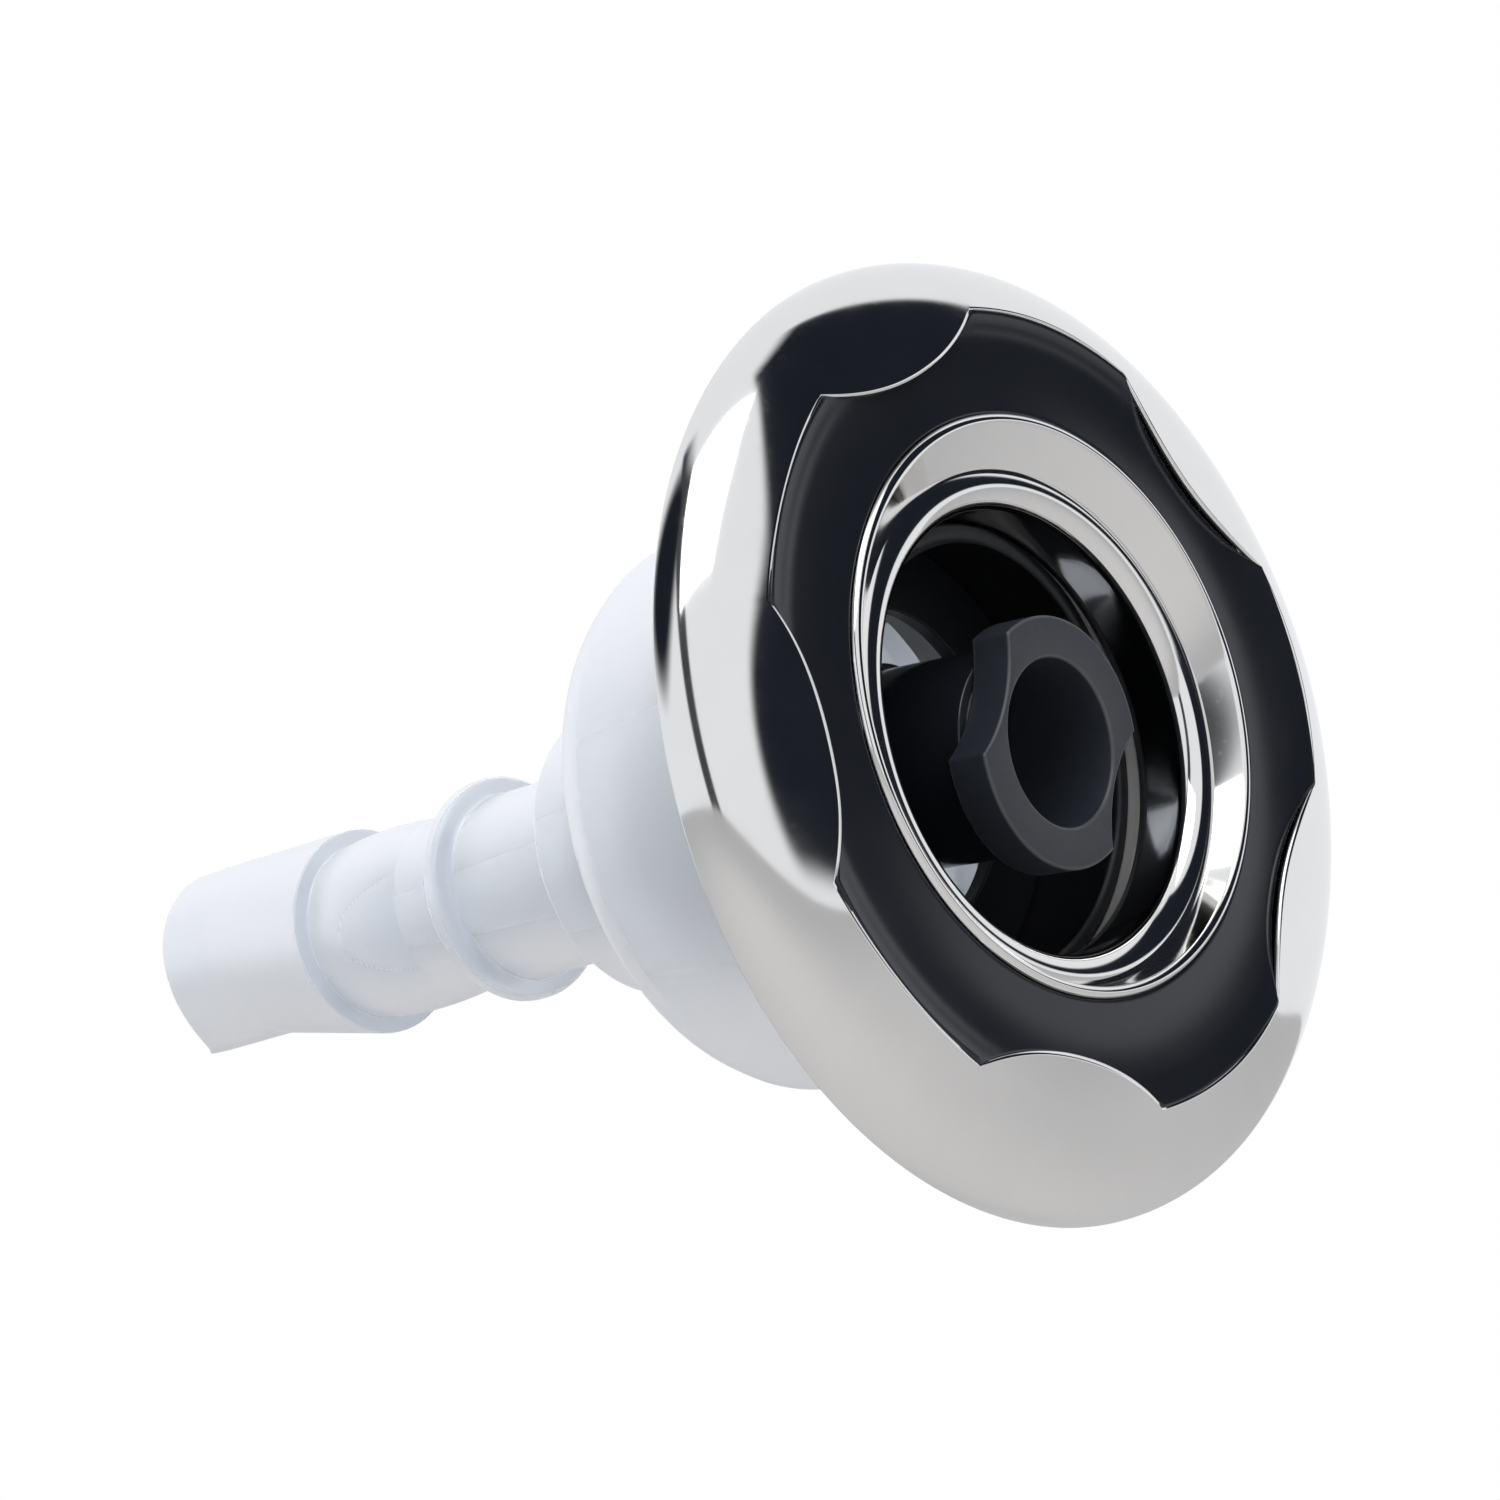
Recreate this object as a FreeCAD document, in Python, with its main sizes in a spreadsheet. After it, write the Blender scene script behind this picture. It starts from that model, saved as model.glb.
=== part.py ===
"""Hot tub jet with a scalloped steel face and a swivelling nozzle.

The jet's axis is Y: the face looks toward -Y, water comes in at the tail, at +Y, and +Z is up.
The origin is on the axis, in the plane where the face's rim seats on the tub's shell.
"""
import FreeCAD, Part
import Sketcher
import math
import os
import sys

DOCUMENT = "hot_tub_jet"
SECTIONS_PER_LOBE = 6
TOUCH = 1e-4

SIZES = {
    # face
    "face_width": 24.5,
    "rim_depth": 3.2,
    "rim_draft": 0.8,
    "shoulder_inset": 2.5,
    "shoulder_height": 8.0,
    "crest_inset": 7.5,
    "crest_swing": 1.5,
    "crest_height": 10.9,
    "crest_lift": 0.9,
    "lip_overlap": 0.8,
    "lip_height": 9.0,
    "lip_lift": 0.3,
    "skin": 1.0,
    "skin_bed": 0.4,
    "lobe_count": 5,
    "lobe_turn": 42.3,
    "window_margin": 10.3,
    "scallop_radius": 46.6,
    "scallop_margin": 17.2,
    "fit_gap": 0.1,
    # face plate
    "plate_edge_height": 9.9,
    "plate_dip": 0.4,
    "plate_mouth_height": 9.0,
    "plate_wall": 2.0,
    "carrier_drop": 1.2,
    "sleeve_wall": 4.2,
    "sleeve_length": 10.0,
    # mouth trim
    "opening_inset": 1.3,
    "opening_lift": 2.4,
    "trim_height": 9.2,
    "trim_skin": 0.9,
    "bead_inset": 5.5,
    "bead_section": 3.6,
    "bead_height": 1.0,
    "bead_foot": 40.0,
    "bead_turn": 100.0,
    "throat_flare": 0.2,
    "throat_gap": 1.5,
    # eyeball
    "ball_depth": 20.0,
    "ball_gap": 3.0,
    "ball_wall": 2.0,
    "ball_mouth": 15.5,
    "ball_tail": 8.0,
    "ball_tilt": 5.6,
    "tilt_turn": 30.4,
    "seat_gap": 0.3,
    "web_thickness": 2.4,
    "web_rim": 10.0,
    "web_land": 1.0,
    "window_count": 3,
    "window_span": 92.0,
    "window_turn": 72.0,
    "hub_radius": 13.6,
    "hub_wall": 1.4,
    "hub_tail": 9.0,
    # nozzle
    "grip_overhang": 2.9,
    "grip_thickness": 6.0,
    "grip_front": 27.3,
    "grip_turn": -26.0,
    "grip_edge": 0.4,
    "notch_radius": 20.0,
    "notch_land": 1.0,
    "nozzle_wall": 1.1,
    "jet_taper": 1.3,
    "nozzle_length": 26.0,
    # seats
    "keeper_gap": 1.0,
    "keeper_length": 6.0,
    "seat_lead": 7.0,
    "seat_length": 7.0,
    # bowl
    "bowl_radius": 39.0,
    "bowl_wall": 2.0,
    "bowl_front": 0.6,
    "bowl_tail": 13.0,
    "bowl_step": 2.6,
    "bowl_corner": 7.0,
    "neck_radius": 20.7,
    "neck_wall": 2.4,
    "neck_length": 22.0,
    "port_radius": 15.0,
    # barrel
    "plug_gap": 1.7,
    "guide_radius": 13.6,
    "guide_length": 25.4,
    "barrel_wall": 2.0,
    "venturi_radius": 8.4,
    "venturi_inset": 4.0,
    "flange_radius": 16.5,
    "flange_thickness": 3.0,
    "tube_radius": 13.2,
    "tube_length": 10.0,
    "swell_radius": 13.9,
    "swell_rise": 11.0,
    "swell_fall": 8.7,
    "shoulder_radius": 15.6,
    "shoulder_length": 0.6,
    "reducer_length": 24.0,
    "tail_radius": 13.65,
    "tail_lift": 2.4,
    "tail_length": 10.5,
    "tongue_length": 8.8,
    "tongue_sweep": 22.0,
}

doc = FreeCAD.newDocument(DOCUMENT)
sheet = doc.addObject("Spreadsheet::Sheet", "dims")
for row, (name, value) in enumerate(SIZES.items(), start=1):
    sheet.set(f"A{row}", name)
    sheet.set(f"B{row}", str(value))
    sheet.setAlias(f"B{row}", name)
doc.recompute()


class Size:
    """A sheet value, or an amount worked out from such values, with the expression that gives it."""

    def __init__(self, text, value):
        self.text = text
        self.value = float(value)

    @staticmethod
    def of(amount):
        return amount if isinstance(amount, Size) else Size(str(amount), amount)

    def __add__(self, other):
        other = Size.of(other)
        return Size(f"({self.text} + {other.text})", self.value + other.value)

    def __sub__(self, other):
        other = Size.of(other)
        return Size(f"({self.text} - {other.text})", self.value - other.value)

    def __mul__(self, other):
        other = Size.of(other)
        return Size(f"({self.text} * {other.text})", self.value * other.value)

    def __truediv__(self, other):
        other = Size.of(other)
        return Size(f"({self.text} / {other.text})", self.value / other.value)

    def __neg__(self):
        return Size(f"(0 - {self.text})", -self.value)

    def root(self):
        return Size(f"sqrt({self.text})", math.sqrt(self.value))


class Sizes:
    """Every alias of the sheet as a Size."""

    def __getattr__(self, name):
        return Size(f"dims.{name}", sheet.get(name))


d = Sizes()

# Radii about the jet's axis, each from the bowl that the face holds
rim_radius = d.bowl_radius + d.face_width
window_radius = rim_radius - d.window_margin
scallop_reach = rim_radius - d.scallop_margin
opening_radius = d.bowl_radius - d.opening_inset
bead_radius = d.bowl_radius - d.bead_inset
ball_radius = d.bowl_radius - d.bowl_wall - d.ball_gap
sleeve_radius = d.hub_radius - d.hub_wall - d.fit_gap
plug_radius = d.neck_radius - d.neck_wall - d.fit_gap

# Depths behind the rim's plane, from the mouth to the tail
throat_depth = d.ball_depth - d.ball_mouth - d.throat_gap
keeper_front = throat_depth + d.keeper_gap
seat_front = d.ball_depth + d.seat_lead
shelf_depth = seat_front + d.seat_length + d.seat_gap
bowl_back = shelf_depth + d.bowl_tail
neck_back = bowl_back + d.neck_length
plug_front = bowl_back + d.plug_gap
flange_front = neck_back + d.guide_length
flange_back = flange_front + d.flange_thickness
shoulder_depth = flange_back + d.tube_length + d.swell_rise + d.swell_fall
tail_front = shoulder_depth + d.reducer_length
tail_back = tail_front + d.tail_length


def leg(long_side, short_side):
    """The third side of a right-angled triangle."""
    return (long_side * long_side - short_side * short_side).root()


def sketch_in(body, role, name):
    """A sketch in one of a body's own origin planes."""
    sketch = body.newObject("Sketcher::SketchObject", name)
    plane = next(item for item in body.Origin.OriginFeatures if item.Role == role)
    sketch.AttachmentSupport = [(plane, "")]
    sketch.MapMode = "FlatFace"
    return sketch


def bind(sketch, constraint, size):
    """Add a constraint whose value follows a Size."""
    index = sketch.addConstraint(Sketcher.Constraint(*constraint, size.value))
    sketch.setExpression(f"Constraints[{index}]", size.text)


def draw_outline(sketch, outline):
    """Close an outline of corners (across, along) or (across, along, radius, side).

    A corner with a radius starts an arc to the next corner. The side is 1 where the arc bulges to
    the left of its chord, -1 where it bulges to the right.
    """
    corners = [FreeCAD.Vector(Size.of(c[0]).value, Size.of(c[1]).value, 0) for c in outline]
    for index, corner in enumerate(outline):
        start = corners[index]
        end = corners[(index + 1) % len(corners)]
        if len(corner) == 2:
            sketch.addGeometry(Part.LineSegment(start, end))
            continue
        radius, side = corner[2].value, corner[3]
        chord = end - start
        middle = (start + end) * 0.5
        left = FreeCAD.Vector(-chord.y, chord.x, 0).normalize()
        sagitta = radius - math.sqrt(max(radius ** 2 - (chord.Length / 2) ** 2, 0.0))
        ends = (start, end) if side < 0 else (end, start)
        sketch.addGeometry(Part.Arc(ends[0], middle + left * (side * sagitta), ends[1]))
    for index in range(len(outline)):
        following = (index + 1) % len(outline)
        finish = arc_end(sketch, index, corners[following])
        begin = arc_end(sketch, following, corners[following])
        sketch.addConstraint(Sketcher.Constraint("Coincident", index, finish, following, begin))
    for index, corner in enumerate(outline):
        point = arc_end(sketch, index, corners[index])
        place(sketch, index, point, Size.of(corner[0]), Size.of(corner[1]))
        if len(corner) > 2:
            bind(sketch, ("Radius", index), corner[2])


def arc_end(sketch, index, corner):
    """Which end of an edge, 1 or 2, lies at a corner."""
    geometry = sketch.Geometry[index]
    near = (geometry.StartPoint - corner).Length < (geometry.EndPoint - corner).Length
    return 1 if near else 2


def place(sketch, index, point, across, along):
    """Tie one point of a sketch to its distances from the origin."""
    for kind, size, axis in (("DistanceX", across, -2), ("DistanceY", along, -1)):
        if size.text in ("0", "0.0"):
            sketch.addConstraint(Sketcher.Constraint("PointOnObject", index, point, axis))
        else:
            bind(sketch, (kind, -1, 1, index, point), size)


def turned(label, outline):
    """A body turned about the jet's axis from an outline of (radius, depth) corners."""
    body = doc.addObject("PartDesign::Body", label)
    body.Label = label
    sketch = sketch_in(body, "XY_Plane", f"{label}_profile")
    draw_outline(sketch, outline)
    revolution = body.newObject("PartDesign::Revolution", f"{label}_turned")
    revolution.Profile = sketch
    revolution.ReferenceAxis = (sketch, ["V_Axis"])
    revolution.Angle = 360
    doc.recompute()
    return body


def stored(label, shape):
    """A piece whose form comes from a loft that no body feature makes."""
    feature = doc.addObject("Part::Feature", label)
    feature.Label = label
    feature.Shape = shape
    return feature


AXIS = FreeCAD.Vector(0, 1, 0)
ORIGIN = FreeCAD.Vector(0, 0, 0)


def at(radius, height, angle=0.0):
    """The point at a radius and a height in front of the rim, turned about the axis from +X."""
    turn = math.radians(angle)
    return FreeCAD.Vector(radius * math.cos(turn), -height, radius * math.sin(turn))


def ring(height, radius, lift=0.0):
    """A closed circle about the axis, or lifted off it."""
    centre = FreeCAD.Vector(0, -height, lift)
    return Part.Wire(Part.makeCircle(radius, centre, AXIS))


def spun(points):
    """A solid turned about the axis from (radius, height) corners."""
    corners = [at(radius, height) for radius, height in points]
    face = Part.Face(Part.makePolygon(corners + corners[:1]))
    return face.revolve(ORIGIN, AXIS, 360)


def surface(points):
    """A smooth edge through (radius, height) points."""
    curve = Part.BSplineCurve()
    curve.interpolate([at(radius, height) for radius, height in points])
    return curve.toShape()


def spun_under(points, floor):
    """A solid turned about the axis, from a smooth top edge down to a flat floor."""
    (first_radius, first_height), (last_radius, last_height) = points[0], points[-1]
    corners = [at(last_radius, last_height), at(last_radius, floor), at(first_radius, floor),
               at(first_radius, first_height)]
    runs = [(a, b) for a, b in zip(corners, corners[1:]) if a != b]
    sides = [Part.LineSegment(a, b).toShape() for a, b in runs]
    face = Part.Face(Part.Wire([surface(points)] + sides))
    return face.revolve(ORIGIN, AXIS, 360)


def skin_section(angle, inset):
    """The (radius, height) points of the face's scalloped skin at an angle, sunk by an inset."""
    lobe = math.cos(math.radians(sheet.lobe_count * (angle - sheet.lobe_turn)))
    rim = rim_radius.value
    slant = inset * math.sqrt(0.5)
    crest_radius = rim - sheet.crest_inset - sheet.crest_swing * lobe
    return [
        (rim - inset, 0.0),
        (rim - sheet.rim_draft - inset, sheet.rim_depth),
        (rim - sheet.shoulder_inset - slant, sheet.shoulder_height - slant),
        (crest_radius, sheet.crest_height + sheet.crest_lift * lobe - inset),
        (scallop_reach.value - sheet.lip_overlap, sheet.lip_height + sheet.lip_lift * lobe - inset),
    ]


def section_edge(angle, inset):
    """One smooth radial edge of the skin."""
    curve = Part.BSplineCurve()
    curve.interpolate([at(radius, height, angle) for radius, height in skin_section(angle, inset)])
    return curve.toShape()


def skin_wire(angle):
    """The closed section of the steel skin at an angle."""
    top = section_edge(angle, 0.0)
    under = section_edge(angle, sheet.skin)
    lip = Part.LineSegment(top.Vertexes[-1].Point, under.Vertexes[-1].Point).toShape()
    rim = Part.LineSegment(under.Vertexes[0].Point, top.Vertexes[0].Point).toShape()
    return Part.Wire([top, lip, under, rim])


def window(gap):
    """The five-lobed opening of the steel face as a prism, drawn in by a gap."""
    low, high = sheet.plate_wall, 3 * sheet.crest_height
    prism = Part.makeCylinder(window_radius.value - gap, high - low, at(0, high), AXIS)
    reach = scallop_reach.value + sheet.scallop_radius
    for index in range(int(sheet.lobe_count)):
        centre = at(reach, high, sheet.lobe_turn + index * 360 / sheet.lobe_count)
        prism = prism.cut(Part.makeCylinder(sheet.scallop_radius + gap, high - low, centre, AXIS))
    return prism


def escutcheon():
    """The polished steel skin: a rim that swells into five domes round the black face."""
    steps = SECTIONS_PER_LOBE * int(sheet.lobe_count)
    wires = [skin_wire(sheet.lobe_turn + index * 360 / steps) for index in range(steps)]
    skin = Part.makeLoft(wires, True, False, True)
    return skin.cut(window(0.0))


def trim_cone(inset, spare):
    """The slanting cone between the off-centre opening and the round bead, as a solid."""
    turn = math.radians(sheet.bead_foot)
    foot_radius = bead_radius.value + sheet.bead_section * math.sin(turn) + sheet.trim_skin / 2
    foot_height = sheet.bead_height + sheet.bead_section * math.cos(turn) - sheet.trim_skin / 2
    top = ring(sheet.trim_height + spare, opening_radius.value - inset, sheet.opening_lift)
    foot = ring(foot_height - spare, foot_radius - inset)
    return Part.makeLoft([top, foot], True, True)


def bead_point(section, turn):
    """A point on the bead's rolled section, with 0 degrees at its crest and 90 at its outside."""
    angle = math.radians(turn)
    return at(bead_radius.value + section * math.sin(angle), sheet.bead_height + section * math.cos(angle))


def mouth_trim():
    """The polished ring in the mouth: a cone that runs down to a rolled bead and a short throat."""
    outer, inner = sheet.bead_section, sheet.bead_section - sheet.trim_skin
    turn = sheet.bead_turn
    throat = bead_radius.value - outer + sheet.throat_flare
    throat_end = at(throat, -throat_depth.value)
    throat_back = at(throat + sheet.trim_skin, -throat_depth.value)
    edges = [
        Part.Arc(bead_point(outer, turn), bead_point(outer, 0), bead_point(outer, -90)).toShape(),
        Part.LineSegment(bead_point(outer, -90), throat_end).toShape(),
        Part.LineSegment(throat_end, throat_back).toShape(),
        Part.LineSegment(throat_back, bead_point(inner, -90)).toShape(),
        Part.Arc(bead_point(inner, -90), bead_point(inner, 0), bead_point(inner, turn)).toShape(),
        Part.LineSegment(bead_point(inner, turn), bead_point(outer, turn)).toShape(),
    ]
    bead = Part.Face(Part.Wire(edges)).revolve(ORIGIN, AXIS, 360)
    hollow = trim_cone(sheet.trim_skin, sheet.fit_gap)
    return trim_cone(0.0, 0.0).cut(hollow).fuse(bead).removeSplitter()


def face_plate():
    """The black moulding: a five-lobed front, the carrier under the steel skin and a rear sleeve."""
    calm = sheet.lobe_turn + 180 / sheet.lobe_count
    rim, wall, shoulder, crest, lip = skin_section(calm, sheet.skin + sheet.skin_bed)
    bore = sheet.bowl_radius + sheet.fit_gap
    sleeve = bore + sheet.sleeve_wall
    step = sheet.plate_wall
    ledge = lip[1] - sheet.carrier_drop
    floor = ledge - step
    carrier = spun_under([(bore, ledge), (lip[0], ledge), crest, shoulder, wall, rim], 0.0)
    hollow = spun([(sleeve, floor), (lip[0], floor), (crest[0], crest[1] - step),
                   (shoulder[0] - step, shoulder[1] - step), (wall[0] - step, wall[1] - step),
                   (rim[0] - step, 0.0), (sleeve, 0.0)])
    window_edge = window_radius.value
    dip_radius = (opening_radius.value + window_edge) / 2
    front = spun_under([(bead_radius.value, sheet.plate_mouth_height), (bore, sheet.plate_mouth_height),
                        (dip_radius, sheet.plate_mouth_height - sheet.plate_dip),
                        (window_edge, sheet.plate_edge_height),
                        (window_edge + sheet.skin, sheet.plate_edge_height)], floor)
    tube = Part.makeCylinder(sleeve, sheet.sleeve_length, at(0, floor), AXIS)
    body = carrier.cut(hollow).fuse(front.common(window(sheet.fit_gap))).fuse(tube)
    reach = 2 * sheet.ball_depth + sheet.sleeve_length
    seat = Part.makeCylinder(bore, reach, at(0, sheet.bead_height - sheet.fit_gap), AXIS)
    mouth = trim_cone(-sheet.fit_gap, sheet.fit_gap)
    bead_room = Part.makeCylinder(bore, reach, at(0, sheet.bead_height + sheet.bead_section), AXIS)
    return body.cut(mouth).cut(seat).cut(bead_room).removeSplitter()


def ball_seat(label, front, length, clearance):
    """A ring in the bowl whose bore follows the ball, from a depth and with a clearance outside it."""
    reach = ball_radius + d.seat_gap
    outer = d.bowl_radius - d.bowl_wall - clearance
    back = front + length
    return turned(label, [
        (outer, front),
        (outer, back),
        (leg(reach, back - d.ball_depth), back, reach, 1),
        (leg(reach, front - d.ball_depth), front),
    ])


def bowl():
    """The milky bowl behind the face, with the neck that takes the barrel."""
    inner = d.bowl_radius - d.bowl_wall
    return turned("bowl", [
        (inner, d.bowl_front),
        (d.bowl_radius, d.bowl_front),
        (d.bowl_radius, bowl_back - d.bowl_corner, d.bowl_corner, -1),
        (d.bowl_radius - d.bowl_corner, bowl_back),
        (d.neck_radius, bowl_back),
        (d.neck_radius, neck_back),
        (d.neck_radius - d.neck_wall, neck_back),
        (d.neck_radius - d.neck_wall, bowl_back),
        (d.port_radius, bowl_back),
        (d.port_radius, bowl_back - d.bowl_wall),
        (inner - d.bowl_corner, bowl_back - d.bowl_wall, d.bowl_corner - d.bowl_step, 1),
        (inner - d.bowl_step, bowl_back - d.bowl_wall - d.bowl_corner + d.bowl_step),
        (inner - d.bowl_step, shelf_depth),
        (inner, shelf_depth),
    ])


def arc_radius(run, rise):
    """The radius of an arc that leaves its axis line level and rises over a run."""
    return (run * run + rise * rise) / (rise * 2)


def barrel():
    """The feed tube: a plug in the neck, a cone that speeds the water, a flange and an eccentric tail."""
    wall = d.barrel_wall
    bore = d.tube_radius - wall
    rise = d.swell_radius - d.tube_radius
    swell_front = flange_back + d.tube_length
    swell_top = swell_front + d.swell_rise
    venturi_front = plug_front + d.venturi_inset
    body = turned("barrel", [
        (plug_radius, plug_front),
        (plug_radius, neck_back),
        (d.guide_radius, neck_back),
        (d.guide_radius, flange_front),
        (d.flange_radius, flange_front),
        (d.flange_radius, flange_back),
        (d.tube_radius, flange_back),
        (d.tube_radius, swell_front, arc_radius(d.swell_rise, rise), -1),
        (d.swell_radius, swell_top, arc_radius(d.swell_fall, rise), -1),
        (d.tube_radius, shoulder_depth),
        (d.shoulder_radius, shoulder_depth),
        (d.shoulder_radius, shoulder_depth + d.shoulder_length),
        (bore, shoulder_depth + d.shoulder_length),
        (bore, neck_back),
        (d.venturi_radius, venturi_front),
        (d.venturi_radius + wall, venturi_front),
        (d.guide_radius - wall / 2, neck_back - wall),
        (plug_radius - wall, neck_back - wall),
        (plug_radius - wall, plug_front),
    ])
    reducer_front = shoulder_depth + d.shoulder_length
    tail_wall = d.tail_radius - wall
    outside = [circle_at(body, "shoulder_rim", reducer_front, d.shoulder_radius, Size("0", 0)),
               circle_at(body, "tail_rim", tail_front, d.tail_radius, d.tail_lift)]
    inside = [circle_at(body, "shoulder_bore", reducer_front, bore, Size("0", 0)),
              circle_at(body, "tail_bore", tail_front, tail_wall, d.tail_lift)]
    blend(body, "PartDesign::AdditiveLoft", "reducer", outside)
    tail_tube(body)
    blend(body, "PartDesign::SubtractiveLoft", "reducer_bore", inside)
    bore_cut = body.newObject("PartDesign::Pocket", "tail_hole")
    bore_cut.Profile = inside[1]
    bore_cut.setExpression("Length", (d.tail_length + d.tongue_length * 2).text)
    doc.recompute()
    trim_tail(body)
    return body


def circle_at(body, name, depth, radius, lift):
    """A circle across the jet's axis at a depth, lifted off the axis."""
    sketch = sketch_in(body, "XZ_Plane", name)
    sketch.setExpression("AttachmentOffset.Base.z", (-depth).text)
    sketch.addGeometry(Part.Circle(FreeCAD.Vector(0, lift.value, 0), FreeCAD.Vector(0, 0, 1), radius.value))
    bind(sketch, ("Radius", 0), radius)
    place(sketch, 0, 3, Size("0", 0), lift)
    doc.recompute()
    return sketch


def blend(body, kind, name, rims):
    """A loft between two circles, added to the body or cut from it."""
    loft = body.newObject(kind, name)
    loft.Profile = rims[0]
    loft.Sections = [rims[1]]
    loft.Ruled = True
    doc.recompute()
    return loft


def tail_tube(body):
    """The tail's tube behind the reducer, long enough for the tongue."""
    rim = circle_at(body, "tail_tube_rim", tail_front, d.tail_radius, d.tail_lift)
    pad = body.newObject("PartDesign::Pad", "tail_tube")
    pad.Profile = rim
    pad.Reversed = True
    pad.setExpression("Length", (d.tail_length + d.tongue_length).text)
    doc.recompute()


def trim_tail(body):
    """Cut the tail's end square, but for a pointed tongue below."""
    reach = d.tail_radius * 2
    end = tail_back + d.tongue_length
    spare = end + d.tail_length
    square = sketch_in(body, "XY_Plane", "square_end")
    draw_outline(square, [(-reach, tail_back), (reach, tail_back), (reach, spare), (-reach, spare)])
    upper = body.newObject("PartDesign::Pocket", "square_cut")
    upper.Profile = square
    upper.Reversed = True
    upper.setExpression("Length", reach.text)
    doc.recompute()
    tongue = sketch_in(body, "XY_Plane", "tongue_end")
    draw_outline(tongue, [
        (-d.tail_radius, tail_back, d.tongue_sweep, -1),
        (0, end, d.tongue_sweep, -1),
        (d.tail_radius, tail_back),
        (reach, tail_back),
        (reach, spare),
        (-reach, spare),
        (-reach, tail_back),
    ])
    lower = body.newObject("PartDesign::Pocket", "tongue_cut")
    lower.Profile = tongue
    lower.setExpression("Length", reach.text)
    doc.recompute()


def swivelled(turn):
    """The place of what rides in the ball: turned about the axis, then tilted down at the front."""
    centre = FreeCAD.Vector(0, sheet.ball_depth, 0)
    side = math.radians(sheet.tilt_turn)
    hinge = FreeCAD.Vector(math.cos(side), 0, math.sin(side))
    tilt = FreeCAD.Placement(ORIGIN, FreeCAD.Rotation(hinge, sheet.ball_tilt), centre)
    return tilt * FreeCAD.Placement(ORIGIN, FreeCAD.Rotation(AXIS, -turn))


def eyeball():
    """The black ball: a spherical cup with a web of three windows that carries the nozzle's hub."""
    centre, outer, inner = d.ball_depth, ball_radius, ball_radius - d.ball_wall
    front, back = centre - d.ball_mouth, centre + d.ball_tail
    web_back = centre + d.web_thickness
    hub, hub_bore = d.hub_radius, d.hub_radius - d.hub_wall
    hub_front = centre - d.grip_front + d.grip_thickness
    body = turned("eyeball", [
        (leg(inner, d.ball_mouth), front),
        (leg(outer, d.ball_mouth), front, outer, -1),
        (leg(outer, d.ball_tail), back),
        (leg(inner, d.ball_tail), back, inner, 1),
        (leg(inner, d.web_thickness), web_back),
        (hub, web_back),
        (hub, centre + d.hub_tail),
        (hub_bore, centre + d.hub_tail),
        (hub_bore, hub_front),
        (hub, hub_front),
        (hub, centre),
        (inner, centre, inner, 1),
    ])
    cut_windows(body)
    body.Placement = swivelled(sheet.window_turn)
    return body


def cut_windows(body):
    """The windows in the ball's web, each a sector of a ring."""
    inside, outside = d.hub_radius + d.web_land, ball_radius - d.ball_wall - d.web_rim
    sketch = sketch_in(body, "XZ_Plane", "window_sector")
    half = math.radians(sheet.window_span / 2)
    normal = FreeCAD.Vector(0, 0, 1)
    for size in (outside, inside):
        circle = Part.Circle(ORIGIN, normal, size.value)
        sketch.addGeometry(Part.ArcOfCircle(circle, -half, half))
    for end in (-half, half):
        ray = FreeCAD.Vector(math.cos(end), math.sin(end), 0)
        sketch.addGeometry(Part.LineSegment(ray * inside.value, ray * outside.value))
    for arc, size in ((0, outside), (1, inside)):
        sketch.addConstraint(Sketcher.Constraint("Coincident", arc, 3, -1, 1))
        bind(sketch, ("Radius", arc), size)
        sketch.addConstraint(Sketcher.Constraint("Coincident", arc, 1, 2, 2 - arc))
        sketch.addConstraint(Sketcher.Constraint("Coincident", arc, 2, 3, 2 - arc))
    sketch.addConstraint(Sketcher.Constraint("PointOnObject", -1, 1, 2))
    sketch.addConstraint(Sketcher.Constraint("PointOnObject", -1, 1, 3))
    sketch.addConstraint(Sketcher.Constraint("Symmetric", 0, 1, 0, 2, -1))
    spread = Size("(dims.window_span * 1deg)", half * 2)
    index = sketch.addConstraint(Sketcher.Constraint("Angle", 2, 3, spread.value))
    sketch.setExpression(f"Constraints[{index}]", spread.text)
    pocket = body.newObject("PartDesign::Pocket", "window")
    pocket.Profile = sketch
    pocket.Midplane = True
    pocket.setExpression("Length", ((d.ball_depth + d.web_thickness) * 4).text)
    doc.recompute()
    pattern = body.newObject("PartDesign::PolarPattern", "windows")
    pattern.Originals = [pocket]
    pattern.Axis = (sketch, ["N_Axis"])
    pattern.Angle = 360
    pattern.setExpression("Occurrences", "dims.window_count")
    body.Tip = pattern
    doc.recompute()


def nozzle():
    """The grey nozzle: a grip flange with two finger notches and the sleeve that snaps in the hub."""
    front = d.ball_depth - d.grip_front
    back = front + d.grip_thickness
    end = front + d.nozzle_length
    bore = sleeve_radius - d.nozzle_wall
    grip = d.hub_radius + d.grip_overhang
    body = turned("nozzle", [
        (bore, front),
        (grip, front),
        (grip, back),
        (sleeve_radius, back),
        (sleeve_radius, end),
        (bore - d.jet_taper, end),
    ])
    sketch = sketch_in(body, "XZ_Plane", "finger_notches")
    reach = bore + d.notch_land + d.notch_radius
    for side, centre in enumerate((reach, -reach)):
        place_at = FreeCAD.Vector(centre.value, 0, 0)
        sketch.addGeometry(Part.Circle(place_at, FreeCAD.Vector(0, 0, 1), d.notch_radius.value))
        bind(sketch, ("Radius", side), d.notch_radius)
        place(sketch, side, 3, centre, Size("0", 0))
    pocket = body.newObject("PartDesign::Pocket", "notches")
    pocket.Profile = sketch
    pocket.Midplane = True
    pocket.setExpression("Length", ((d.grip_front - d.ball_depth) * 2 + d.grip_thickness).text)
    doc.recompute()
    ease_edges(body, pocket, front.value)
    body.Placement = swivelled(sheet.grip_turn)
    return body


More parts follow.
